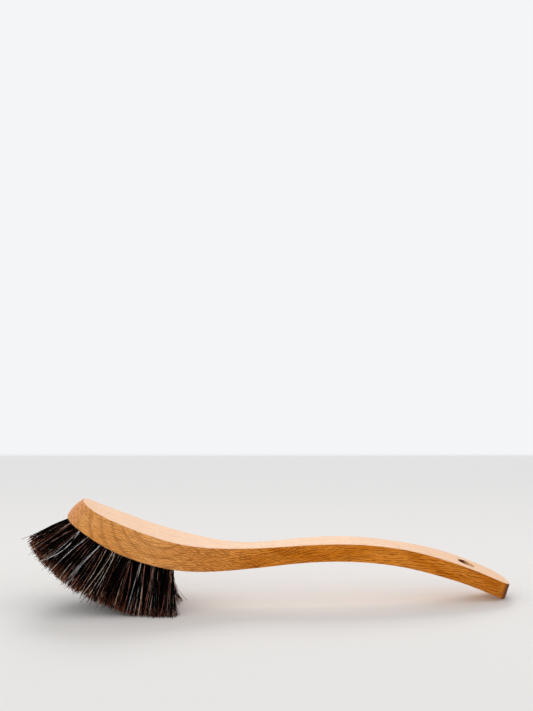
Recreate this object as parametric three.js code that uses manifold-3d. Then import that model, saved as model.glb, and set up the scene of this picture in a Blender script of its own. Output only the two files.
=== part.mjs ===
// A hand brush with a long swan-neck handle, filled with horsehair.
// One beech block is both handle and head. Each tuft of hair is folded over its
// own flat wire anchor and driven into a blind hole in the head's underside.
//
// Millimetres, +Z up. The brush lies as it does on a table: on the tips of its
// hair and on the lower edge of the handle's end. The head points to -X.
// The origin is on the table, under the middle of the brush's bounding box.

import * as THREE from "three";
import { mergeVertices } from "three/addons/utils/BufferGeometryUtils.js";
import Module from "manifold-3d";

const wasm = await Module();
wasm.setup();

// ---- Driving dimensions ----------------------------------------------------

// The centre line runs in the XZ plane from the head's tip to the handle's end:
// one bend up through the head, then one bend down through the handle.
const BLOCK_LENGTH = 253.8; // along the centre line
const TIP_SLOPE = 35; // degrees that the centre line falls at the tip
const HEAD_BEND_RADIUS = 160;
const HANDLE_BEND_RADIUS = 212;
const BEND_CHANGE_START = 94; // from the tip; where the head's bend fades out
const BEND_CHANGE_END = 145; // where the handle's bend is fully in

// Widths, and how far from the tip each one is reached.
const HEAD_WIDTH = 36.5;
const HEAD_STATION = 53.5;
const NECK_WIDTH = 15.8;
const NECK_STATION = 105.7;
const GRIP_WIDTH = 20;
const GRIP_START_STATION = 151;
const GRIP_END_STATION = 185;
const BUTT_WIDTH = 25.6;
const BUTT_STATION = 218;
const TIP_ROUNDING_LENGTH = 40; // of the head's rounded end, along the brush
const TIP_ROUNDING_POWER = 3; // 2 makes it an ellipse, more makes it blunter
const BUTT_ROUNDING_LENGTH = 18;
const BUTT_ROUNDING_POWER = 3;

// Thickness square to the centre line.
const TIP_THICKNESS = 13.2;
const HEAD_THICKNESS = 16.1;
const HEAD_THICKNESS_STATION = 34;
const GRIP_THICKNESS = 10.2;
const GRIP_THICKNESS_STATION = 140;
const BUTT_THICKNESS = 9.1;
const EDGE_RADIUS = 0.6; // the block's long edges are only just eased

// The end faces aren't square to the centre line. The slants are in degrees.
const TIP_FACE_SLANT = 9.5; // the tip's face leans back over the head
const TIP_BULGE = 1; // millimetres that the tip's face swells at half its height
const BUTT_FACE_SLANT = 11; // the butt's face leans back over the handle
const BUTT_SLANT_LENGTH = 30; // over which the butt's slant comes in

const HANGING_HOLE_DIAMETER = 10;
const HANGING_HOLE_CHAMFER = 0.5;
const HANGING_HOLE_FROM_END = 27.1;

// Tufts, and the holes that they are driven into.
const TUFT_HOLE_DIAMETER = 5;
const TUFT_HOLE_DEPTH = 10;
const OUTER_TUFT_COUNT = 18; // in the row that follows the head's outline
const INNER_TUFT_COUNT = 11; // in the zigzag row inside it
const EDGE_WALL = 2.1; // wood between the outline and the outer row's holes
const HOLE_WALL = 0.55; // wood between neighbouring holes at their bottoms
const ROW_WALL = 0.4; // wood between the two rows' anchors, end to end
const HAIR_LENGTH = 28.5; // free length, from the block to the tips
const TIP_LEAN = 26; // degrees that the tip's tufts lean forwards
const HEEL_LEAN = 10; // degrees that the heel's tufts lean backwards
const LEAN_CHANGE_LENGTH = 55; // from the tip, until the tufts lean as the heel's do
const SIDE_LEAN = 17; // degrees that the widest tufts lean sideways
const STRAIGHT_HAIR_LENGTH = 3; // before a tuft starts to spread

// Anchors: short pieces of flat wire, set across the brush.
const ANCHOR_BITE = 0.6; // how far each end of an anchor is driven into the wood
const ANCHOR_HEIGHT = 2;
const ANCHOR_THICKNESS = 0.5;
const FOLD_THICKNESS = 1.6; // of the hair that passes under the anchor

const CLEARANCE = 0.3; // left between any two pieces

// ---- Facets ----------------------------------------------------------------

const WALK_STEP = 0.5;
const STATION_STEP = 3.6;
const ROUNDING_FACETS = 11; // on each side of a rounded end
const EDGE_FACETS = 2;
const SIDE_FACETS = 4; // up the block's side
const TUFT_SIDES = 8;
const TUFT_HOLE_SIDES = 12;
const HANGING_HOLE_SIDES = 40;

const Y_AXIS = new THREE.Vector3(0, 1, 0);

// ---- Curves that shape the block -------------------------------------------

// Moves from one value to another between two places, level at both.
function ease(place, from, to, first, second) {
  const share = THREE.MathUtils.clamp((place - from) / (to - from), 0, 1);
  return THREE.MathUtils.lerp(first, second, (1 - Math.cos(Math.PI * share)) / 2);
}

// Walks along the centre line from the tip, turning as the two bends say.
function traceCentreLine() {
  const stops = [];
  const steps = Math.ceil(BLOCK_LENGTH / WALK_STEP);
  const step = BLOCK_LENGTH / steps;
  let x = 0;
  let z = 0;
  let heading = -THREE.MathUtils.degToRad(TIP_SLOPE);
  for (let i = 0; i <= steps; i += 1) {
    stops.push({ x, z, heading });
    const turn = step * ease(
      (i + 0.5) * step, BEND_CHANGE_START, BEND_CHANGE_END,
      1 / HEAD_BEND_RADIUS, -1 / HANDLE_BEND_RADIUS);
    x += Math.cos(heading + turn / 2) * step;
    z += Math.sin(heading + turn / 2) * step;
    heading += turn;
  }
  return stops;
}

const centreLine = traceCentreLine();

// The centre line's place and directions at a distance from the tip. It runs on
// straight beyond its two ends.
function centreAt(along) {
  const last = centreLine.length - 1;
  const inside = THREE.MathUtils.clamp(along, 0, BLOCK_LENGTH);
  const exact = (inside / BLOCK_LENGTH) * last;
  const index = Math.min(Math.floor(exact), last - 1);
  const share = exact - index;
  const before = centreLine[index];
  const after = centreLine[index + 1];
  const heading = THREE.MathUtils.lerp(before.heading, after.heading, share);
  const x = THREE.MathUtils.lerp(before.x, after.x, share);
  const z = THREE.MathUtils.lerp(before.z, after.z, share);
  const forward = new THREE.Vector3(Math.cos(heading), 0, Math.sin(heading));
  const up = new THREE.Vector3(-Math.sin(heading), 0, Math.cos(heading));
  const point = new THREE.Vector3(x, 0, z).addScaledVector(forward, along - inside);
  return { point, forward, up };
}

// How far along the blank a slanted end moves a point for each unit of height.
function slantAt(along) {
  const tip = Math.tan(THREE.MathUtils.degToRad(TIP_FACE_SLANT));
  const butt = Math.tan(THREE.MathUtils.degToRad(BUTT_FACE_SLANT));
  const slantStart = BLOCK_LENGTH - BUTT_SLANT_LENGTH;
  return ease(along, 0, TIP_ROUNDING_LENGTH, tip, 0) - ease(along, slantStart, BLOCK_LENGTH, 0, butt);
}

// How far a point moves towards the tip, so that the tip's face swells.
function bulgeAt(along, height) {
  const share = (2 * height) / thicknessAt(along);
  return ease(along, 0, TIP_ROUNDING_LENGTH, TIP_BULGE, 0) * (1 - share ** 2);
}

// Takes a point of the straight blank to its place on the bent block.
function bendPoint(along, across, height) {
  const { point, up } = centreAt(along + height * slantAt(along) - bulgeAt(along, height));
  return point.addScaledVector(up, height).addScaledVector(Y_AXIS, across);
}

function thicknessAt(along) {
  const tip = ease(along, 0, HEAD_THICKNESS_STATION, TIP_THICKNESS, HEAD_THICKNESS);
  const neck = ease(along, HEAD_THICKNESS_STATION, GRIP_THICKNESS_STATION, tip, GRIP_THICKNESS);
  return ease(along, GRIP_END_STATION, BLOCK_LENGTH, neck, BUTT_THICKNESS);
}

// The share of the width that a rounded end leaves at a distance from that end.
function endRounding(distance, length, power) {
  const inside = THREE.MathUtils.clamp(1 - distance / length, 0, 1);
  return (1 - inside ** power) ** (1 / power);
}

function halfWidthAt(along) {
  const neck = ease(along, HEAD_STATION, NECK_STATION, HEAD_WIDTH, NECK_WIDTH);
  const grip = ease(along, NECK_STATION, GRIP_START_STATION, neck, GRIP_WIDTH);
  const width = ease(along, GRIP_END_STATION, BUTT_STATION, grip, BUTT_WIDTH);
  const tip = endRounding(along, TIP_ROUNDING_LENGTH, TIP_ROUNDING_POWER);
  const butt = endRounding(BLOCK_LENGTH - along, BUTT_ROUNDING_LENGTH, BUTT_ROUNDING_POWER);
  return (width / 2) * tip * butt;
}

// A point of the blank's outline, moved inwards, square to the outline.
function outlinePoint(along, inset) {
  const from = Math.max(along - WALK_STEP, 0);
  const to = Math.min(along + WALK_STEP, BLOCK_LENGTH);
  const tangent = new THREE.Vector2(to - from, halfWidthAt(to) - halfWidthAt(from)).normalize();
  return new THREE.Vector2(
    along + inset * tangent.y,
    Math.max(halfWidthAt(along) - inset * tangent.x, 0));
}

// ---- The block -------------------------------------------------------------

// Distances from the tip where the block has a section: closest together at the
// rounded ends, where the width changes fastest.
function sectionStations() {
  const facetAngle = Math.PI / 2 / (ROUNDING_FACETS + 0.5);
  const shares = [];
  for (let i = 0; i <= ROUNDING_FACETS; i += 1) {
    shares.push(1 - Math.cos((i + 0.5) * facetAngle));
  }
  const tip = shares.map((share) => TIP_ROUNDING_LENGTH * share);
  const butt = shares.map((share) => BLOCK_LENGTH - BUTT_ROUNDING_LENGTH * share).reverse();
  const middleLength = BLOCK_LENGTH - TIP_ROUNDING_LENGTH - BUTT_ROUNDING_LENGTH;
  const count = Math.round(middleLength / STATION_STEP);
  const middle = [];
  for (let i = 1; i < count; i += 1) {
    middle.push(TIP_ROUNDING_LENGTH + (middleLength * i) / count);
  }
  return [...tip, ...middle, ...butt];
}

// The levels of the block's side, from the bottom face to the top face. Each is at
// a share of the half thickness. Near a face it also has an inset from the outline
// and a drop from the face, which round the edges.
function sideLevels() {
  const rounded = [];
  for (let i = 0; i <= EDGE_FACETS; i += 1) {
    const angle = (Math.PI / 2) * (i / EDGE_FACETS);
    const inset = EDGE_RADIUS * (1 - Math.sin(angle));
    const drop = EDGE_RADIUS * (1 - Math.cos(angle));
    rounded.push({ inset, drop });
  }
  const bottom = rounded.map((level) => ({ ...level, share: -1 }));
  const top = rounded.map((level) => ({ ...level, share: 1 })).reverse();
  const side = [];
  for (let i = 1; i < SIDE_FACETS; i += 1) {
    side.push({ inset: 0, drop: 0, share: (2 * i) / SIDE_FACETS - 1 });
  }
  return [...bottom, ...side, ...top];
}

// The bent board, before it is drilled.
function bentBoardGeometry() {
  const stations = sectionStations();
  const levels = sideLevels();
  const loopLength = 2 * stations.length;
  const positions = [];
  for (const { inset, drop, share } of levels) {
    const side = (sign) => stations.map((along) => {
      const rim = outlinePoint(along, inset);
      return bendPoint(rim.x, sign * rim.y, share * (thicknessAt(along) / 2 - drop));
    });
    const loop = [...side(-1), ...side(1).reverse()];
    loop.forEach((point) => positions.push(...point.toArray()));
  }
  const indices = [];
  for (let level = 0; level + 1 < levels.length; level += 1) {
    for (let i = 0; i < loopLength; i += 1) {
      const a = level * loopLength + i;
      const b = level * loopLength + ((i + 1) % loopLength);
      indices.push(a, b, b + loopLength, a, b + loopLength, a + loopLength);
    }
  }
  const topStart = (levels.length - 1) * loopLength;
  for (let near = 0; near + 1 < stations.length; near += 1) {
    const far = loopLength - 1 - near;
    indices.push(near, far, far - 1, near, far - 1, near + 1);
    const [a, b, c, d] = [near, near + 1, far - 1, far].map((index) => topStart + index);
    indices.push(a, b, c, a, c, d);
  }
  const geometry = new THREE.BufferGeometry();
  geometry.setAttribute("position", new THREE.Float32BufferAttribute(positions, 3));
  geometry.setIndex(indices);
  return geometry;
}

// How far the bent board is lifted, so that the handle's end rests on the table.
function restingLift(geometry) {
  geometry.computeBoundingBox();
  return -geometry.boundingBox.min.z;
}

const boardGeometry = bentBoardGeometry();
const LIFT = restingLift(boardGeometry);
boardGeometry.translate(0, 0, LIFT);

// ---- Solids ----------------------------------------------------------------

function toSolid(geometry) {
  const bare = geometry.clone();
  bare.deleteAttribute("normal");
  bare.deleteAttribute("uv");
  const merged = mergeVertices(bare);
  return new wasm.Manifold(new wasm.Mesh({
    numProp: 3,
    vertProperties: new Float32Array(merged.attributes.position.array),
    triVerts: new Uint32Array(merged.index.array),
  }));
}

function toGeometry(solid) {
  const { vertProperties, triVerts } = solid.getMesh();
  const geometry = new THREE.BufferGeometry();
  geometry.setAttribute("position", new THREE.BufferAttribute(vertProperties, 3));
  geometry.setIndex(new THREE.BufferAttribute(triVerts, 1));
  geometry.computeVertexNormals();
  return geometry;
}

// Turns a profile of [radius, height] points around +Z. It starts and ends on
// the axis, from the bottom up.
function turned(profile, sides) {
  const points = profile.map(([radius, height]) => new THREE.Vector2(radius, height));
  return new THREE.LatheGeometry(points, sides).rotateX(Math.PI / 2);
}

// A box around the Z axis, from one height to another.
function uprightBox(sizeX, sizeY, bottom, top) {
  return new THREE.BoxGeometry(sizeX, sizeY, top - bottom).translate(0, 0, (bottom + top) / 2);
}

// ---- The tuft field --------------------------------------------------------

// Sizes and heights in a tuft's own frame, where the hair comes out at zero.
const ANCHOR_LENGTH = TUFT_HOLE_DIAMETER + 2 * ANCHOR_BITE;
const SHANK_RADIUS = TUFT_HOLE_DIAMETER / 2 - CLEARANCE;
const FOLD_HEIGHT = CLEARANCE - TUFT_HOLE_DEPTH; // the folded end's place in the tuft's frame
const SEAT_HEIGHT = FOLD_HEIGHT + FOLD_THICKNESS; // where the opening for the anchor starts
const ANCHOR_BOTTOM = SEAT_HEIGHT + CLEARANCE;
const ANCHOR_TOP = ANCHOR_BOTTOM + ANCHOR_HEIGHT;

// One side of the outer row's path, from the middle of the tip towards the neck.
function outerRowSide() {
  const inset = TUFT_HOLE_DIAMETER / 2 + EDGE_WALL;
  const steps = Math.ceil(BLOCK_LENGTH / WALK_STEP);
  const side = [new THREE.Vector2(inset, 0)];
  for (let i = 1; i <= steps; i += 1) {
    const share = i / steps;
    side.push(outlinePoint(BLOCK_LENGTH * share * share, inset));
  }
  return side;
}

// The place at a distance along a path, and the direction square to the path.
function placeOnPath(path, distance) {
  let left = distance;
  let index = 1;
  while (left > path[index].distanceTo(path[index - 1])) {
    left -= path[index].distanceTo(path[index - 1]);
    index += 1;
  }
  const direction = path[index].clone().sub(path[index - 1]).normalize();
  const point = path[index - 1].clone().addScaledVector(direction, left);
  return { point, square: new THREE.Vector2(-direction.y, direction.x) };
}

// The holes fan out, so they come closer together as they go in. This is how far
// apart two mouths have to be, to leave a distance between axes at some depth.
function mouthPitch(distance, depth, widest) {
  const leanChange = THREE.MathUtils.degToRad(TIP_LEAN + HEEL_LEAN);
  const steepest = (leanChange * Math.PI) / 2 / LEAN_CHANGE_LENGTH;
  const lengthways = steepest + 1 / HEAD_BEND_RADIUS;
  const sideways = THREE.MathUtils.degToRad(SIDE_LEAN) / widest;
  return distance / (1 - depth * Math.max(lengthways, sideways));
}

// The outer row: pairs of tufts, evenly spaced along the outline on both sides.
function outerPlaces(path, widest) {
  const pitch = mouthPitch(TUFT_HOLE_DIAMETER + HOLE_WALL, TUFT_HOLE_DEPTH, widest);
  const side = [];
  for (let i = 0; i < OUTER_TUFT_COUNT / 2; i += 1) {
    side.push(placeOnPath(path, (i + 0.5) * pitch));
  }
  const mirrored = side.map(({ point, square }) => ({
    point: new THREE.Vector2(point.x, -point.y),
    square: new THREE.Vector2(-square.x, square.y),
  }));
  return [...mirrored.reverse(), ...side];
}

// The inner row: a zigzag down the middle, as far to each side as the wood allows.
// It spreads evenly to the outer row's heel, or further where it's narrow.
function innerPlaces(outer, widest) {
  const pitch = mouthPitch(TUFT_HOLE_DIAMETER + HOLE_WALL, TUFT_HOLE_DEPTH, widest);
  const gap = mouthPitch(ANCHOR_LENGTH + 2 * CLEARANCE + ROW_WALL, -SEAT_HEIGHT, widest);
  const inset = TUFT_HOLE_DIAMETER / 2 + EDGE_WALL + gap;
  const start = Math.min(...outer.map(({ point }) => point.x)) + gap;
  const heel = Math.max(...outer.map(({ point }) => point.x));
  const evenStep = (heel - start) / (INNER_TUFT_COUNT - 1);
  const places = [];
  let along = start;
  for (let i = 0; i < INNER_TUFT_COUNT; i += 1) {
    const side = i % 2 === 0 ? 1 : -1;
    const across = Math.max(halfWidthAt(along) - inset, 0);
    const point = new THREE.Vector2(along, side * across);
    places.push({ point, square: new THREE.Vector2(0, 1) });
    const tightStep = Math.sqrt(Math.max(pitch ** 2 - (2 * across) ** 2, 0));
    along += Math.max(evenStep, tightStep);
  }
  return places;
}

// A tuft's frame: its origin on the underside, +Z out along the hair, +X along
// its anchor, which lies square to the row.
function tuftFrame({ point: place, square }, widest) {
  const { forward, up } = centreAt(place.x);
  const mouth = bendPoint(place.x, place.y, -thicknessAt(place.x) / 2);
  mouth.z += LIFT;
  const lean = THREE.MathUtils.degToRad(
    ease(place.x, 0, LEAN_CHANGE_LENGTH, TIP_LEAN, -HEEL_LEAN));
  const sideLean = THREE.MathUtils.degToRad((SIDE_LEAN * place.y) / widest);
  const out = new THREE.Vector3()
    .addScaledVector(up, -Math.cos(lean) * Math.cos(sideLean))
    .addScaledVector(forward, -Math.sin(lean) * Math.cos(sideLean))
    .addScaledVector(Y_AXIS, Math.sin(sideLean));
  const anchor = forward.clone().multiplyScalar(square.x).addScaledVector(Y_AXIS, square.y);
  const across = anchor.addScaledVector(out, -anchor.dot(out)).normalize();
  const third = out.clone().cross(across);
  return new THREE.Matrix4().makeBasis(across, third, out).setPosition(mouth);
}

function tuftFrames() {
  const path = outerRowSide();
  const widest = Math.max(...path.map((point) => point.y));
  const outer = outerPlaces(path, widest);
  return [...outer, ...innerPlaces(outer, widest)].map((place) => tuftFrame(place, widest));
}

const frames = tuftFrames();

// The radius that each tuft may spread to at its tips, clear of its neighbours.
function tipRadii() {
  const tips = frames.map((frame) => new THREE.Vector3(0, 0, HAIR_LENGTH).applyMatrix4(frame));
  return tips.map((tip) => {
    const distances = tips.filter((other) => other !== tip).map((other) => other.distanceTo(tip));
    return (Math.min(...distances) - CLEARANCE) / 2;
  });
}

function tuftGeometry(frame, tipRadius) {
  const body = toSolid(turned([
    [0, FOLD_HEIGHT],
    [SHANK_RADIUS, FOLD_HEIGHT],
    [SHANK_RADIUS, STRAIGHT_HAIR_LENGTH],
    [tipRadius, HAIR_LENGTH],
    [0, HAIR_LENGTH],
  ], TUFT_SIDES));
  const anchorOpening = toSolid(uprightBox(
    TUFT_HOLE_DIAMETER,
    ANCHOR_THICKNESS + 2 * CLEARANCE,
    SEAT_HEIGHT,
    ANCHOR_TOP + CLEARANCE));
  const size = 4 * BLOCK_LENGTH;
  const belowTable = uprightBox(size, size, -size, 0).applyMatrix4(frame.clone().invert());
  return toGeometry(body.subtract(anchorOpening).subtract(toSolid(belowTable)));
}

function anchorGeometry() {
  return uprightBox(ANCHOR_LENGTH, ANCHOR_THICKNESS, ANCHOR_BOTTOM, ANCHOR_TOP);
}

// What the drill and the driven anchor take out of the block for one tuft.
function tuftHole(frame) {
  const cornerRadius = TUFT_HOLE_DIAMETER / 2 / Math.cos(Math.PI / TUFT_HOLE_SIDES);
  const bore = turned([
    [0, -TUFT_HOLE_DEPTH],
    [cornerRadius, -TUFT_HOLE_DEPTH],
    [cornerRadius, TUFT_HOLE_DIAMETER],
    [0, TUFT_HOLE_DIAMETER],
  ], TUFT_HOLE_SIDES);
  const groove = uprightBox(
    ANCHOR_LENGTH + 2 * CLEARANCE,
    ANCHOR_THICKNESS + 2 * CLEARANCE,
    ANCHOR_BOTTOM - CLEARANCE,
    TUFT_HOLE_DIAMETER);
  return toSolid(bore.applyMatrix4(frame)).add(toSolid(groove.applyMatrix4(frame)));
}

function hangingHole() {
  const along = BLOCK_LENGTH - HANGING_HOLE_FROM_END;
  const { forward, up } = centreAt(along);
  const radius = HANGING_HOLE_DIAMETER / 2;
  const face = thicknessAt(along) / 2;
  const straight = face - HANGING_HOLE_CHAMFER;
  const beyond = face + radius;
  const wide = radius + beyond - straight;
  const cutter = turned([
    [0, -beyond], [wide, -beyond], [radius, -straight],
    [radius, straight], [wide, beyond], [0, beyond],
  ], HANGING_HOLE_SIDES);
  const centre = bendPoint(along, 0, 0);
  centre.z += LIFT;
  const frame = new THREE.Matrix4().makeBasis(forward, Y_AXIS, up).setPosition(centre);
  return toSolid(cutter.applyMatrix4(frame));
}

function blockGeometry() {
  let block = toSolid(boardGeometry).subtract(hangingHole());
  for (const frame of frames) {
    block = block.subtract(tuftHole(frame));
  }
  return toGeometry(block);
}

// ---- Materials -------------------------------------------------------------

function beech() {
  return new THREE.MeshStandardMaterial({ color: 0xc98d52, roughness: 0.5, metalness: 0 });
}

function horsehair() {
  return new THREE.MeshStandardMaterial({ color: 0x1a1412, roughness: 0.45, metalness: 0 });
}

function steelWire() {
  return new THREE.MeshStandardMaterial({ color: 0xb4b7ba, roughness: 0.35, metalness: 1 });
}

// ---- The brush -------------------------------------------------------------

function namedMesh(name, geometry, material, frame) {
  const mesh = new THREE.Mesh(geometry, material);
  mesh.name = name;
  if (frame) {
    frame.decompose(mesh.position, mesh.quaternion, mesh.scale);
  }
  return mesh;
}

function brush() {
  const group = new THREE.Group();
  group.add(namedMesh("beech_block", blockGeometry(), beech()));
  const radii = tipRadii();
  frames.forEach((frame, index) => {
    const number = String(index + 1).padStart(2, "0");
    const tuft = tuftGeometry(frame, radii[index]);
    group.add(namedMesh(`hair_tuft_${number}`, tuft, horsehair(), frame));
    group.add(namedMesh(`wire_anchor_${number}`, anchorGeometry(), steelWire(), frame));
  });
  group.updateMatrixWorld(true);
  const box = new THREE.Box3().setFromObject(group, true);
  group.position.x = -(box.min.x + box.max.x) / 2;
  return group;
}

export default brush();
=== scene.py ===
# A horsehair hand brush with a swan-neck beech handle, lying on a pale table.
# Metres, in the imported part's own frame: +X runs from the head to the handle's
# end, +Z is up, and the table is at z = 0.

import math
import random

import bmesh
import bpy
import numpy as np
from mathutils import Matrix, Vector
from mathutils.bvhtree import BVHTree

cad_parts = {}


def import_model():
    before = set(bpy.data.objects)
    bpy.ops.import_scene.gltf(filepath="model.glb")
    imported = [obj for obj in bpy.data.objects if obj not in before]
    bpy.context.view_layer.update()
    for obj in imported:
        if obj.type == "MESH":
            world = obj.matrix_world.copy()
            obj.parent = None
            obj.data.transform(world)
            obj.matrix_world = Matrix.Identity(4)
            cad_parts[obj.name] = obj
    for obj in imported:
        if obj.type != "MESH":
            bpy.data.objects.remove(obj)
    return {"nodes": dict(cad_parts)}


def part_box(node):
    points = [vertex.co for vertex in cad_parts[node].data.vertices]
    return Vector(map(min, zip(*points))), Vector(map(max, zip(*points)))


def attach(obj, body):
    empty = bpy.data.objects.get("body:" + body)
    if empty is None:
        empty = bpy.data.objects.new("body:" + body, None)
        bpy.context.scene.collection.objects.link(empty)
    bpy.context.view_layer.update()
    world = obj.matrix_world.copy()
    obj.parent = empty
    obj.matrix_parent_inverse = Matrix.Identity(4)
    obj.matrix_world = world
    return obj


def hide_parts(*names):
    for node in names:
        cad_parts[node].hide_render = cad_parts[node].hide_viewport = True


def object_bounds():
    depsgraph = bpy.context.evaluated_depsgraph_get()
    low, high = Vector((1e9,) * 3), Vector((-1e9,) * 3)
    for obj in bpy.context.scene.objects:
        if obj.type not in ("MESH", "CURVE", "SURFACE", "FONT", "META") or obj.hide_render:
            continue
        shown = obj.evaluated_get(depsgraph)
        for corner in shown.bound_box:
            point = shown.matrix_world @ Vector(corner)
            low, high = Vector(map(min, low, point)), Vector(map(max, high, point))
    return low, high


MM = 0.001

# ---- Camera ----------------------------------------------------------------

# A long lens on the -Y side, a little above the table.
CAMERA_PLACE = Vector((-0.1257, -1.4171, 0.3789))
CAMERA_DIRECTION = Vector((0.08596, 0.98252, -0.16509))
CAMERA_REACH = 100
LENS_MM = 131.65
SENSOR_MM = 36

# ---- Light -----------------------------------------------------------------

# The light from all round has a strength towards each side, and the strength in
# any direction is the product of three of them.
LEFT_LIGHT = 0.95
RIGHT_LIGHT = 0.87
FRONT_LIGHT = 0.80
BACK_LIGHT = 0.78
LOW_LIGHT = 2.7
HIGH_LIGHT = 1.0
LIGHT_SIDES = (
    (0, LEFT_LIGHT, RIGHT_LIGHT),
    (1, FRONT_LIGHT, BACK_LIGHT),
    (2, LOW_LIGHT, HIGH_LIGHT),
)
SIDE_LIMIT = 0.8  # a direction that points this far to a side has its full strength
LAMP_PLACE = Vector((0.1, 2.1, 1.6))
LAMP_SIZE = 1.2
LAMP_WATTS = 23.0

# ---- Table -----------------------------------------------------------------

TABLE_HALF_SIZE = 40
TABLE_TURN = math.radians(5)  # of its far edge, about Z
TABLE_EDGE = 0.400  # where the table ends, behind the brush
TABLE_EDGE_WIDTH = 0.015
# From the near limit to the far edge the table turns to a darker tone, which is painted
# shade.
TABLE_NEAR_LIMIT = 0.05  # where the near tone starts to turn into the far one
TABLE_NEAR = (0.80, 0.785, 0.77)
TABLE_FAR_PAINTED_SHADE = (0.69, 0.69, 0.69)
WALL_GLOW = (0.905, 0.915, 0.935)
BLACK = (0.0, 0.0, 0.0)

# ---- Wood ------------------------------------------------------------------

# Palest, usual and darkest tone of the sides, and of the upper and lower faces. The faces'
# tones are paler than the sides', partly for a different cut of the grain and partly as
# painted sheen.
SIDE_TONES = ((0.77, 0.272, 0.030), (0.61, 0.182, 0.009), (0.15, 0.027, 0.001))
FACE_TONES_WITH_PAINTED_SHEEN = ((0.87, 0.56, 0.355), (0.84, 0.515, 0.30), (0.60, 0.29, 0.13))
# The sides turn towards this paler tone in the head: painted light, as the head's sides face
# more towards the brighter left.
HEAD_PAINTED_LIGHT = (1.0, 0.52, 0.18)  # what the sides turn towards in the head
BUTT_RICH = (0.42, 0.100, 0.001)  # and at the handle's end
END_PALE = (0.78, 0.35, 0.13)  # end grain between its lines
END_DARK = (0.28, 0.088, 0.018)  # and on them
# The handle's end grain turns to this darker tone as painted shade, for that end faces away
# from the light.
BUTT_END_PAINTED_SHADE = (0.08, 0.018, 0.002)  # what it turns towards at the handle's end
# The hanging hole's wall goes from painted shade towards the head to painted light towards
# the handle's end.
BORE_FIBRE_AND_PAINTED_SHADE = (0.12, 0.025, 0.003)  # the hanging hole's wall towards the head
BORE_PAINTED_LIGHT = (1.0, 0.62, 0.32)  # and towards the handle's end

# Stretches along the grain, from near the head's tip, over which the look changes.
HEAD_FADE = (0.04, 0.11)
ARCS_FADE = (0.045, 0.085)
RAYS_FADE = (0.03, 0.11)
CROSSING_FADE = (0.11, 0.16)
BUTT_FADE = (0.19, 0.26)
END_FADE = (0.10, 0.20)

# Places here are in the grain's own axes: along the block, across it, and depth.
RINGS_PER_METRE = 260
RING_TILT = 0.3077  # how far the rings move across for each unit of depth
ARC_CENTRE = (0.040, 0, -0.012)  # of the head's arcs
ARCS_PER_METRE = 340
TREE_HEART = (0, 0.016, 0.030)  # what the end grain's arcs go around
END_ARCS_PER_METRE = 900
RAY_SLOPE = -9  # degrees to the grain
RAY_SPACING = 1.2 * MM
CROSSING_SLOPE = 24
CROSSING_SPACING = 1.3 * MM

# ---- Block -----------------------------------------------------------------

SIDE, FACE, BORE = range(3)  # the order of the block's materials
WELD_DISTANCE = 0.002 * MM
SHARP_ANGLE = math.radians(50)
LEVEL_LIMIT = 0.8  # least part up or down off the grain, for an upper or lower face
GRAIN_LINE_Y = 7 * MM  # beside the hanging hole, inside the neck's width
GRAIN_LINE_STEPS = 140
TIP_MARGIN = 12 * MM  # from the block's tip to the start of the grain's line
BUTT_MARGIN = 5 * MM  # and from its end to the handle's end
BORE_FROM_END = 25.9 * MM  # from the handle's end to the hanging hole's centre
BORE_RADIUS = 5 * MM
BORE_ZONE = (15 * MM, 40 * MM)  # from the handle's end, with the whole hole between
BORE_ZONE_HALF_WIDTH = 5.6 * MM

# ---- Hair ------------------------------------------------------------------

TUFT_COUNT = 29
HAIRS_PER_TUFT = 260
FIRST_SEED = 1000
HAIR_LENGTH = 29.9 * MM
MOUTH_FROM_ANCHOR = 6.8 * MM  # from the anchor's centre out to the underside
ROOT_DEPTH = 2.5 * MM  # how far into its hole a hair is drawn
TUFT_RADIUS = 2.35 * MM  # where the tuft leaves its hole
SPREAD_RADIUS = 7.0 * MM  # of a tuft's tips
FAN_POWER = 1.15  # above 1, a hair leaves its hole straight and fans out later
CUT_RADIUS = 70 * MM  # of the round face that all the tips are cut to
HAIR_ROOT_RADIUS = 0.15 * MM
HAIR_TIP_RADIUS = 0.11 * MM
TAPER_POWER = 1.5
HAIR_SIDES = 3
HAIR_STEPS = 7

# How one hair differs from the next.
SPREAD_RANGE = (0.7, 1.1)
THICKNESS_RANGE = (0.75, 1.2)
LENGTH_SCATTER = 0.015
BOW_SCATTER = 0.5 * MM
SWAY_SCATTER = 0.4 * MM
TIP_SCATTER = 0.7 * MM
SHORT_SHARE = 0.06  # of the hairs, which are worn or broken short
SHORT_RANGE = (0.75, 0.97)
STRAY_SHARE = 0.035  # of the hairs, which stick out from the rest
STRAY_RANGE = (1.1, 1.6)
STRAY_LONGER = 3.5 * MM
STRAY_BOW = 3

# At the head's tip the hair is shorter, and its ends hang. The tufts there point
# away from the handle: they start to count at a lean of 0.6, and do in full at 0.9.
TIP_SHORTER = 0.15
TIP_DROOP = 2.5 * MM
LEAN_START = 0.6
LEAN_RANGE = 0.3

# At the head's heel the tufts point straight down or towards the handle, and hardly
# spread that way.
HEEL_NARROWER = 0.85
HEEL_RANGE = 0.25

# Where the hair meets the table it bends outwards, away from the brush's middle.
TABLE_CLEARANCE = 0.12 * MM
CLEARANCE_SCATTER = 0.5 * MM
CONTACT_HEIGHT = 0.05 * MM  # tufts whose ends are lower than this touch the table
SPLAY = 1.25  # how far a tip slides outwards for each unit that it's pushed up
SPLAY_ALONG = 0.25
SPLAY_ACROSS = 1.5
SPLAY_SCATTER = 6 * MM

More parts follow.
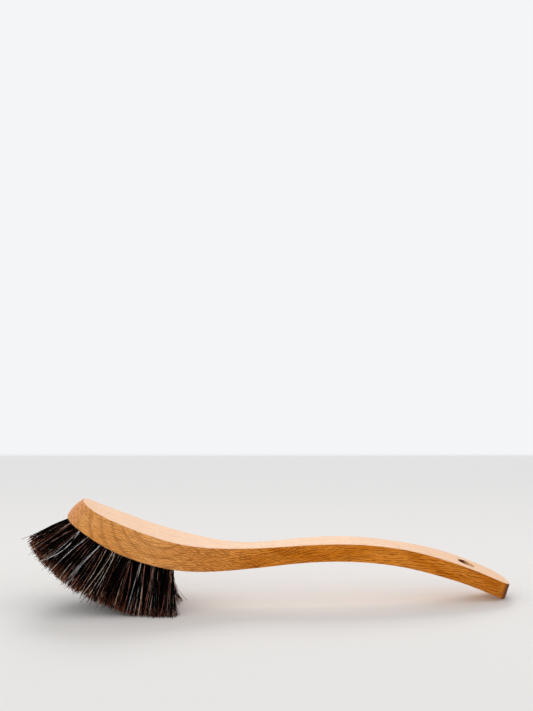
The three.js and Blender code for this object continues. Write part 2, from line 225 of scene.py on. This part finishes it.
# A share is a colour's weight beside the others. A colour varies from dark to light
# between hairs, and turns towards the tip colour where a hair's end is worn.
HAIR_COLOURS = {
    "hair_black": {
        "share": 0.71,
        "thickness": 1.0,
        "gloss": 0.02,
        "dark": (0.001, 0.0008, 0.0008),
        "light": (0.002, 0.001, 0.001),
        "tip": (0.14, 0.04, 0.02),
    },
    "hair_dark_brown": {
        "share": 0.12,
        "thickness": 1.0,
        "gloss": 0.05,
        "dark": (0.005, 0.002, 0.001),
        "light": (0.02, 0.007, 0.004),
        "tip": (0.24, 0.08, 0.04),
    },
    "hair_red_brown": {
        "share": 0.075,
        "thickness": 1.3,
        "gloss": 0.2,
        "dark": (0.11, 0.034, 0.021),
        "light": (0.38, 0.15, 0.095),
        "tip": (0.46, 0.21, 0.13),
    },
    "hair_grey": {
        "share": 0.028,
        "thickness": 1.25,
        "gloss": 0.4,
        "dark": (0.28, 0.26, 0.28),
        "light": (0.80, 0.74, 0.76),
        "tip": (0.60, 0.46, 0.42),
    },
    "hair_blond": {
        "share": 0.032,
        "thickness": 1.35,
        "gloss": 0.4,
        "dark": (0.52, 0.37, 0.27),
        "light": (1.0, 0.82, 0.70),
        "tip": (0.80, 0.60, 0.46),
    },
}


# ---- Node helpers ----------------------------------------------------------


class Nodes:
    """A short way to write the nodes of a material or a world."""

    def __init__(self, owner):
        owner.use_nodes = True
        self.tree = owner.node_tree

    def add(self, kind, **settings):
        node = self.tree.nodes.new(kind)
        for name, value in settings.items():
            setattr(node, name, value)
        return node

    def link(self, source, target):
        self.tree.links.new(source, target)

    def coordinates(self, output):
        return self.add("ShaderNodeTexCoord").outputs[output]

    def axes(self, vector):
        node = self.add("ShaderNodeSeparateXYZ")
        self.link(vector, node.inputs[0])
        return node.outputs

    def scaled(self, vector, scale, turn=(0, 0, 0)):
        node = self.add("ShaderNodeMapping")
        node.inputs["Scale"].default_value = scale
        node.inputs["Rotation"].default_value = turn
        self.link(vector, node.inputs["Vector"])
        return node.outputs["Vector"]

    def distance(self, vector, centre):
        node = self.add("ShaderNodeVectorMath", operation="DISTANCE")
        node.inputs[1].default_value = centre
        self.link(vector, node.inputs[0])
        return node.outputs["Value"]

    def noise(self, vector, detail=2.0, roughness=0.5):
        node = self.add("ShaderNodeTexNoise")
        node.inputs["Scale"].default_value = 1.0
        node.inputs["Detail"].default_value = detail
        node.inputs["Roughness"].default_value = roughness
        self.link(vector, node.inputs["Vector"])
        return node.outputs["Fac"]

    def remap(self, value, low, high, first=0.0, second=1.0, shape="SMOOTHSTEP"):
        node = self.add("ShaderNodeMapRange", interpolation_type=shape)
        node.inputs["From Min"].default_value = low
        node.inputs["From Max"].default_value = high
        node.inputs["To Min"].default_value = first
        node.inputs["To Max"].default_value = second
        self.link(value, node.inputs["Value"])
        return node.outputs["Result"]

    def math(self, operation, a, b):
        node = self.add("ShaderNodeMath", operation=operation)
        for socket, value in zip(node.inputs, (a, b)):
            if isinstance(value, (int, float)):
                socket.default_value = value
            else:
                self.link(value, socket)
        return node.outputs["Value"]

    def bands(self, value, per_metre, wander, waviness, low, high):
        """Soft bands at even steps of the value, made wavy by the wander."""
        steps = self.math("MULTIPLY", value, per_metre)
        steps = self.math("ADD", steps, self.math("MULTIPLY", wander, waviness))
        return self.remap(self.math("PINGPONG", steps, 1.0), low, high)

    def streaks(self, place, slope, spacing):
        """Long thin lines at a slope in degrees to the grain, broken here and there."""
        turned = self.scaled(place, (1, 1, 1), (0, math.radians(slope), 0))
        wander = self.noise(self.scaled(turned, (70, 50, 220)), 2.0)
        breaks = self.noise(self.scaled(turned, (190, 60, 1500)), 1.0)
        line = self.bands(self.axes(turned)[2], 2 / spacing, wander, 7.0, 0.40, 0.95)
        return self.math("MULTIPLY", line, self.remap(breaks, 0.40, 0.52, 0.1, 1.0))

    def mix(self, factor, a, b):
        node = self.add("ShaderNodeMix", data_type="RGBA")
        sockets = (node.inputs[0], node.inputs[6], node.inputs[7])
        for socket, value in zip(sockets, (factor, a, b)):
            if isinstance(value, (int, float)):
                socket.default_value = value
            elif isinstance(value, tuple):
                socket.default_value = (*value, 1)
            else:
                self.link(value, socket)
        return node.outputs[2]


class MaterialNodes(Nodes):
    """The nodes of one new material, and the shader that they lead to."""

    def __init__(self, name):
        self.material = bpy.data.materials.new(name)
        super().__init__(self.material)
        self.shader = self.tree.nodes["Principled BSDF"]

    def place(self):
        return self.coordinates("Object")

    def attribute(self, name, output):
        return self.add("ShaderNodeAttribute", attribute_name=name).outputs[output]

    def bump(self, height, strength, distance):
        node = self.add("ShaderNodeBump")
        node.inputs["Strength"].default_value = strength
        node.inputs["Distance"].default_value = distance
        self.link(height, node.inputs["Height"])
        self.link(node.outputs["Normal"], self.shader.inputs["Normal"])

    def colour(self, socket):
        self.link(socket, self.shader.inputs["Base Color"])

    def roughness(self, socket):
        self.link(socket, self.shader.inputs["Roughness"])

    def fixed(self, **values):
        """Shader values that are the same all over."""
        for name, value in values.items():
            self.shader.inputs[name.replace("_", " ")].default_value = value


# ---- Materials -------------------------------------------------------------


def growth(n, place, wander, tones, head_painted_light_and_arcs, butt_richness):
    """The wood's tone, with its growth rings and its changes along the block."""
    pale, warm, dark = tones
    x, y, z = n.axes(place)

    # Growth rings lie almost upright along the brush, and wander a little.
    across = n.math("ADD", y, n.math("MULTIPLY", z, RING_TILT))
    ring = n.bands(across, RINGS_PER_METRE, wander, 6.0, 0.1, 0.9)
    colour = n.mix(ring, pale, warm)

    # The head's sides are made paler than the handle's as painted light, and the handle's end
    # is richer in colour.
    colour = n.mix(n.remap(x, *HEAD_FADE, head_painted_light_and_arcs, 0.0), colour, HEAD_PAINTED_LIGHT)
    colour = n.mix(n.remap(x, *BUTT_FADE, 0.0, butt_richness), colour, BUTT_RICH)

    # Broad clouds of darker and lighter wood.
    cloud = n.noise(n.scaled(place, (22, 70, 60)), 3.0)
    colour = n.mix(n.remap(cloud, 0.40, 0.70, 0.0, 0.45), colour, warm)

    # The block's cut bends across the rings in the head, which makes a few arcs.
    bend = n.distance(n.scaled(place, (1, 0, 1)), ARC_CENTRE)
    arcs = n.bands(bend, ARCS_PER_METRE, wander, 2, 0.55, 0.95)
    arcs = n.math("MULTIPLY", arcs, n.remap(x, *ARCS_FADE, 0.38, 0.0))
    return n.mix(n.math("MULTIPLY", arcs, head_painted_light_and_arcs), colour, dark)


def rays(n, place, strength):
    """Rays are flat blades across the rings, and show as short dark streaks.

    In the head and neck a second set slopes across the first."""
    x = n.axes(place)[0]
    first = n.streaks(place, RAY_SLOPE, RAY_SPACING)
    crossing = n.streaks(place, CROSSING_SLOPE, CROSSING_SPACING)
    crossing = n.math("MULTIPLY", crossing, n.remap(x, *CROSSING_FADE, 0.8, 0.0))
    both = n.math("MAXIMUM", first, crossing)
    return n.math("MULTIPLY", both, n.remap(x, *RAYS_FADE, 0.6 * strength, strength))


def end_grain(n, place, wander):
    """Wood cut across: rays and rings cross, in arcs around the heart of the tree."""
    flat = n.scaled(place, (0, 1, 1))
    heart = n.distance(flat, TREE_HEART)
    arc = n.bands(heart, END_ARCS_PER_METRE, wander, 3, 0.15, 0.85)
    ray = n.noise(n.scaled(flat, (1, 420, 1500), (math.radians(35), 0, 0)), 2.0)
    ray = n.remap(ray, 0.48, 0.64)
    lines = n.math("MAXIMUM", n.math("MULTIPLY", arc, 0.45), ray)
    cut = n.mix(n.math("MULTIPLY", lines, 0.62), END_PALE, END_DARK)
    # Painted shade: towards the handle's end the end grain turns much darker.
    return n.mix(n.remap(n.axes(place)[0], *END_FADE, 0.0, 0.9), cut, BUTT_END_PAINTED_SHADE)


def oiled_beech(name, tones, head_painted_light_and_arcs, butt_richness, ray_strength, gloss):
    """Beech whose grain follows the bends, with rays that show as dark streaks.

    Where the wood is cut across, at the two ends, it shows end grain instead."""
    dark = tones[2]
    n = MaterialNodes(name)
    place = n.attribute("grain", "Vector")
    wander = n.noise(n.scaled(place, (16, 50, 45)), 2.0)
    colour = growth(n, place, wander, tones, head_painted_light_and_arcs, butt_richness)

    # Fine fibres along the grain.
    fibre = n.noise(n.scaled(place, (110, 1300, 1300)), 3.0, 0.65)
    colour = n.mix(n.remap(fibre, 0.42, 0.68, 0.0, 0.30), colour, dark)

    colour = n.mix(rays(n, place, ray_strength), colour, dark)

    # Pores: short dark dashes, which are also sunk into the surface.
    pore = n.noise(n.scaled(place, (900, 6000, 6000)), 1.0)
    pore = n.remap(pore, 0.60, 0.74)
    colour = n.mix(n.math("MULTIPLY", pore, 0.3), colour, dark)

    end = n.remap(n.attribute("end", "Fac"), 0.45, 0.75)
    n.colour(n.mix(end, colour, end_grain(n, place, wander)))
    n.roughness(n.remap(fibre, 0.3, 0.7, 0.45, 0.58))
    relief = n.math("SUBTRACT", n.math("MULTIPLY", fibre, 0.5), n.math("MULTIPLY", pore, 0.8))
    n.bump(relief, 0.12, 0.05 * MM)
    n.fixed(Specular_IOR_Level=gloss)
    return n.material


def bored_beech(centre_x):
    """The hanging hole's wall, with painted shade on the side towards the head and painted
    light towards the handle's end.
    """
    n = MaterialNodes("oiled_beech_bore")
    fibre = n.noise(n.scaled(n.place(), (1600, 1600, 300)), 2.0)
    toward_end = n.remap(n.axes(n.place())[0], centre_x, centre_x + 0.9 * BORE_RADIUS)
    # Painted shade and painted light across the hole's wall, from the head's side to the
    # handle's end.
    colour = n.mix(toward_end, BORE_FIBRE_AND_PAINTED_SHADE, BORE_PAINTED_LIGHT)
    n.colour(n.mix(n.remap(fibre, 0.45, 0.65, 0.0, 0.15), colour, BORE_FIBRE_AND_PAINTED_SHADE))
    n.roughness(n.remap(fibre, 0.3, 0.7, 0.5, 0.65))
    n.fixed(Specular_IOR_Level=0.2)
    return n.material


def horsehair(name, kind):
    """One colour of hair, which varies between hairs and gets redder at the tips."""
    n = MaterialNodes(name)
    tone = n.noise(n.scaled(n.place(), (420, 420, 160)), 2.0)
    colour = n.mix(n.remap(tone, 0.35, 0.65), kind["dark"], kind["light"])
    reach = n.attribute("reach", "Fac")
    worn = n.math("MULTIPLY", n.remap(reach, 0.80, 1.0), n.remap(tone, 0.40, 0.62))
    n.colour(n.mix(worn, colour, kind["tip"]))
    streak = n.noise(n.scaled(n.place(), (1500, 1500, 500)), 1.0)
    n.roughness(n.remap(streak, 0.3, 0.7, 0.34, 0.5))
    n.fixed(Specular_IOR_Level=kind["gloss"])
    return n.material


def steel_wire():
    """Flattened bright wire, with faint lines along it from drawing."""
    n = MaterialNodes("steel_wire")
    lines = n.noise(n.scaled(n.place(), (3000, 300, 9000)), 3.0)
    n.colour(n.mix(lines, (0.42, 0.42, 0.43), (0.62, 0.62, 0.61)))
    n.roughness(n.remap(lines, 0.3, 0.7, 0.28, 0.42))
    n.fixed(Metallic=1.0)
    return n.material


def table_top():
    """A pale matt table, with painted shade that darkens it towards its far edge, and a
    whiter wall and ground behind that edge.
    """
    n = MaterialNodes("table_top")
    back = n.axes(n.scaled(n.place(), (1, 1, 1), (0, 0, TABLE_TURN)))[1]
    beyond = n.remap(back, TABLE_EDGE, TABLE_EDGE + TABLE_EDGE_WIDTH)
    # Painted shade: the table darkens from its near tone towards its far edge.
    near = n.mix(n.remap(back, TABLE_NEAR_LIMIT, TABLE_EDGE), TABLE_NEAR, TABLE_FAR_PAINTED_SHADE)
    n.colour(n.mix(beyond, near, BLACK))
    n.link(beyond, n.shader.inputs["Emission Strength"])
    n.fixed(Emission_Color=(*WALL_GLOW, 1), Roughness=0.9, Specular_IOR_Level=0.0)
    return n.material


# ---- Shared helpers --------------------------------------------------------


def new_object(name, data):
    """A new object in the scene, made from a mesh, a camera or a light."""
    piece = bpy.data.objects.new(name, data)
    bpy.context.scene.collection.objects.link(piece)
    return piece


def facing(direction):
    """The turn that points a camera or a light along a direction."""
    return direction.to_track_quat("-Z", "Y").to_euler()


def clamped(value):
    """The value, kept between 0 and 1."""
    return min(max(value, 0), 1)


# ---- The block -------------------------------------------------------------


def top_line(tree, low, high):
    """Points along the block's upper face, clear of its rounded tip and its cut end."""
    line = []
    first = low.x + TIP_MARGIN
    last = high.x - BUTT_MARGIN
    for i in range(GRAIN_LINE_STEPS + 1):
        x = first + (last - first) * i / GRAIN_LINE_STEPS
        hit = tree.ray_cast(Vector((x, GRAIN_LINE_Y, 1)), Vector((0, 0, -1)))[0]
        if hit:
            line.append((hit.x, hit.z))
    return np.array(line)


def grain_places(points, line):
    """Each point as distance along the line, across the brush, and depth below it.

    It also gives the line's direction there. Beyond either end of the line, its
    last step is taken to run on."""
    steps = np.diff(line, axis=0)
    lengths = np.linalg.norm(steps, axis=1)
    starts = np.concatenate([[0], np.cumsum(lengths)[:-1]])
    units = steps / lengths[:, None]
    offset = points[:, None, [0, 2]] - line[None, :-1, :]
    free = (offset * units[None]).sum(2)
    nearest = np.clip(free, 0, lengths)
    away = np.linalg.norm(offset - nearest[..., None] * units[None], axis=2)
    best = away.argmin(1)
    rows = np.arange(len(points))
    unit = units[best]
    normal = np.stack([-unit[:, 1], unit[:, 0]], 1)
    depth = -(offset[rows, best] * normal).sum(1)
    at_ends = (best == 0) | (best == len(steps) - 1)
    along = starts[best] + np.where(at_ends, free[rows, best], nearest[rows, best])
    return np.stack([along, points[:, 1], depth], 1), unit


def is_level(face, unit):
    """Whether a face lies along the block's upper or lower side."""
    up = Vector((-unit[1], 0, unit[0]))
    return abs(face.normal.dot(up)) > LEVEL_LIMIT


def is_bore(face, high):
    """Whether an upright face belongs to the hanging hole's wall."""
    centre = face.calc_center_median()
    least, most = BORE_ZONE
    return least < high.x - centre.x < most and abs(centre.y) < BORE_ZONE_HALF_WIDTH


def face_material(face, unit, high):
    """The number of the material that a face of the block has."""
    if is_level(face, unit):
        return FACE
    if is_bore(face, high):
        return BORE
    return SIDE


def store_grain(work, places, units):
    """Gives each vertex its place in the grain, and how far it faces along it."""
    grain_layer = work.verts.layers.float_vector.new("grain")
    end_layer = work.verts.layers.float.new("end")
    for vertex, place in zip(work.verts, places):
        vertex[grain_layer] = place
        faces = [f for f in vertex.link_faces if f.material_index == SIDE]
        if faces:
            outward = sum((f.normal for f in faces), Vector()).normalized()
            unit = units[faces[0].index]
            vertex[end_layer] = abs(outward.dot(Vector((unit[0], 0, unit[1]))))


def block(materials):
    """The CAD block again, with its facets welded and shaded smooth."""
    cad = frame["nodes"]["beech_block"]
    low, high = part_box("beech_block")
    mesh = cad.data.copy()
    work = bmesh.new()
    work.from_mesh(mesh)
    bmesh.ops.remove_doubles(work, verts=work.verts, dist=WELD_DISTANCE)
    work.faces.ensure_lookup_table()
    work.faces.index_update()
    line = top_line(BVHTree.FromBMesh(work), low, high)
    places, _ = grain_places(np.array([v.co for v in work.verts]), line)
    centres = np.array([f.calc_center_median() for f in work.faces])
    _, units = grain_places(centres, line)
    for face, unit in zip(work.faces, units):
        face.smooth = True
        face.material_index = face_material(face, unit, high)
    store_grain(work, places, units)
    for edge in work.edges:
        edge.smooth = edge.is_manifold and edge.calc_face_angle(0) < SHARP_ANGLE
    mesh.materials.clear()
    for material in materials:
        mesh.materials.append(material)
    work.to_mesh(mesh)
    work.free()
    piece = new_object("beech_body", mesh)
    weighted = piece.modifiers.new("weighted", "WEIGHTED_NORMAL")
    weighted.keep_sharp = True
    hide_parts("beech_block")
    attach(piece, "root")


# ---- The hair --------------------------------------------------------------


def tuft_frame(number):
    """A tuft's place and directions, read from the wire anchor inside it."""
    mesh = frame["nodes"]["wire_anchor_%02d" % number].data
    points = np.array([v.co for v in mesh.vertices])
    corners = np.unique(points.round(7), axis=0)
    centre = corners.mean(0)
    axes = np.linalg.eigh(np.cov((corners - centre).T))[1]
    across = Vector(axes[:, 2])
    out = Vector(axes[:, 1])
    if out.z > 0:
        out = -out
    side = out.cross(across)
    return Vector(centre) + out * MOUTH_FROM_ANCHOR, across, side, out


def lean(out):
    """How much a tuft leans towards the head's tip, from 0 to 1."""
    return clamped((-out.x - LEAN_START) / LEAN_RANGE)


def heel(out):
    """How much a tuft belongs to the head's heel, from 0 to 1."""
    return clamped((out.x + HEEL_RANGE) / HEEL_RANGE)


def hair_path(source, frame_of_tuft, contact_centre):
    """The points of one hair, from inside its hole to its tip.

    A hair that would reach below the table bends outwards along it instead."""
    mouth, across, side, out = frame_of_tuft
    angle = source.uniform(0, 2 * math.pi)
    share = math.sqrt(source.random())
    around = across * math.cos(angle) + side * math.sin(angle)
    reach = SPREAD_RADIUS * share * source.uniform(*SPREAD_RANGE)
    reach *= 1 - HEEL_NARROWER * max(around.x, 0) * heel(out)
    length = HAIR_LENGTH * (1 - TIP_SHORTER * lean(out))
    length *= 1 - abs(source.gauss(0, LENGTH_SCATTER))
    bow = source.gauss(0, BOW_SCATTER)
    if source.random() < SHORT_SHARE:
        length *= source.uniform(*SHORT_RANGE)
    if source.random() < STRAY_SHARE:
        reach *= source.uniform(*STRAY_RANGE)
        length += source.uniform(0, STRAY_LONGER)
        bow *= STRAY_BOW
    root = mouth + around * (TUFT_RADIUS * share)
    fan = reach - TUFT_RADIUS * share
    height = length - reach**2 / (2 * CUT_RADIUS)
    lateral = Vector([source.gauss(0, TIP_SCATTER) for _ in range(3)])
    lateral.z -= TIP_DROOP * lean(out)
    bend = around.cross(out) * bow + around * source.gauss(0, SWAY_SCATTER)
    outwards = Vector((SPLAY_ALONG * (root.x - contact_centre.x), SPLAY_ACROSS * root.y, 0))
    outwards += Vector((source.gauss(0, SPLAY_SCATTER), source.gauss(0, SPLAY_SCATTER), 0))
    outwards.normalize()
    tip = root + out * height + around * fan + lateral
    lowest = TABLE_CLEARANCE + source.uniform(0, CLEARANCE_SCATTER)
    below = max(lowest - tip.z, 0)
    points = [root - out * ROOT_DEPTH]
    for step in range(HAIR_STEPS):
        t = step / (HAIR_STEPS - 1)
        point = root + out * (height * t) + around * (fan * t**FAN_POWER)
        point += lateral * t**2 + bend * math.sin(math.pi * t)
        point += outwards * (below * SPLAY * t**2) + Vector((0, 0, below * t**2))
        point.z = max(point.z, TABLE_CLEARANCE)
        points.append(point)
    return points


def tube(bm, reach_layer, points, root_radius, tip_radius, material_index):
    """A thin tapered tube along the points, closed at both ends."""
    rings = []
    last = len(points) - 1
    for index, point in enumerate(points):
        ahead = points[min(index + 1, last)] - points[max(index - 1, 0)]
        first = ahead.orthogonal().normalized()
        second = ahead.normalized().cross(first)
        radius = root_radius + (tip_radius - root_radius) * (index / last) ** TAPER_POWER
        ring = []
        for corner in range(HAIR_SIDES):
            turn = 2 * math.pi * corner / HAIR_SIDES
            offset = first * math.cos(turn) + second * math.sin(turn)
            vertex = bm.verts.new(point + offset * radius)
            vertex[reach_layer] = index / last
            ring.append(vertex)
        rings.append(ring)
    faces = [rings[-1], rings[0][::-1]]
    for lower, upper in zip(rings, rings[1:]):
        for corner in range(HAIR_SIDES):
            following = (corner + 1) % HAIR_SIDES
            faces.append([lower[corner], lower[following], upper[following], upper[corner]])
    for corners in faces:
        face = bm.faces.new(corners)
        face.smooth = True
        face.material_index = material_index


def tuft(number, materials, contact_centre):
    """All the hairs of one tuft, as one piece."""
    source = random.Random(FIRST_SEED + number)
    kinds = list(HAIR_COLOURS.values())
    shares = [kind["share"] for kind in kinds]
    frame_of_tuft = tuft_frame(number)
    bm = bmesh.new()
    reach_layer = bm.verts.layers.float.new("reach")
    for _ in range(HAIRS_PER_TUFT):
        points = hair_path(source, frame_of_tuft, contact_centre)
        chosen = source.choices(range(len(kinds)), shares)[0]
        size = source.uniform(*THICKNESS_RANGE) * kinds[chosen]["thickness"]
        tube(bm, reach_layer, points, HAIR_ROOT_RADIUS * size, HAIR_TIP_RADIUS * size, chosen)
    mesh = bpy.data.meshes.new("tuft_hairs")
    bm.to_mesh(mesh)
    bm.free()
    for material in materials:
        mesh.materials.append(material)
    piece = new_object("tuft_hairs_%02d" % number, mesh)
    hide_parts("hair_tuft_%02d" % number)
    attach(piece, "root")


def hair():
    """Every tuft. Hair on the table splays from the middle of the tufts that touch it."""
    materials = [horsehair(name, kind) for name, kind in HAIR_COLOURS.items()]
    boxes = [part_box("hair_tuft_%02d" % number) for number in range(1, TUFT_COUNT + 1)]
    touching = [(low + high) / 2 for low, high in boxes if low.z < CONTACT_HEIGHT]
    contact_centre = sum(touching, Vector()) / len(touching)
    for number in range(1, TUFT_COUNT + 1):
        tuft(number, materials, contact_centre)


def anchors(material):
    """Gives the CAD's own wire anchors their material."""
    for number in range(1, TUFT_COUNT + 1):
        node = frame["nodes"]["wire_anchor_%02d" % number]
        if not node.material_slots:
            node.data.materials.append(None)
        node.material_slots[0].link = "OBJECT"
        node.material_slots[0].material = material


# ---- Camera, stage and light -----------------------------------------------


def camera():
    """The camera, which sees the brush's near side and a little of its top."""
    data = bpy.data.cameras.new("camera")
    data.lens = LENS_MM
    data.sensor_width = SENSOR_MM
    data.sensor_fit = "AUTO"
    data.clip_end = CAMERA_REACH
    piece = new_object("camera", data)
    piece.location = CAMERA_PLACE
    piece.rotation_euler = facing(CAMERA_DIRECTION)
    bpy.context.scene.camera = piece


def stage():
    """The table, as one wide flat sheet."""
    bm = bmesh.new()
    bmesh.ops.create_grid(bm, x_segments=1, y_segments=1, size=TABLE_HALF_SIZE)
    mesh = bpy.data.meshes.new("table")
    bm.to_mesh(mesh)
    bm.free()
    mesh.materials.append(table_top())
    piece = new_object("table", mesh)


def back_lamp():
    """A weak square light behind the brush, which points at it."""
    data = bpy.data.lights.new("back_lamp", "AREA")
    data.shape = "SQUARE"
    data.size = LAMP_SIZE
    data.energy = LAMP_WATTS
    piece = new_object("back_lamp", data)
    piece.location = LAMP_PLACE
    piece.rotation_euler = facing(-LAMP_PLACE)


def world():
    """Soft white light from all round, strongest low down and stronger from the left."""
    studio = bpy.data.worlds.new("studio")
    n = Nodes(studio)
    direction = n.axes(n.coordinates("Generated"))
    strength = 1.0
    for axis, first, second in LIGHT_SIDES:
        side = n.remap(direction[axis], -SIDE_LIMIT, SIDE_LIMIT, first, second, "LINEAR")
        strength = n.math("MULTIPLY", side, strength)
    background = n.tree.nodes["Background"]
    background.inputs["Color"].default_value = (1.0, 1.0, 1.0, 1)
    n.link(strength, background.inputs["Strength"])
    bpy.context.scene.world = studio


# ---- The scene -------------------------------------------------------------

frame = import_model()
cad_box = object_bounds()
bpy.context.scene.view_settings.view_transform = "Standard"
camera()
stage()
world()
back_lamp()
block([
    oiled_beech("oiled_beech_side", SIDE_TONES, 0.75, 0.6, 0.80, 0.05),
    # The faces' paler tones are partly painted sheen.
    oiled_beech("oiled_beech_face_with_painted_sheen", FACE_TONES_WITH_PAINTED_SHEEN, 0.0, 0.0, 0.18, 0.35),
    bored_beech(cad_box[1][0] - BORE_FROM_END),
])
hair()
anchors(steel_wire())
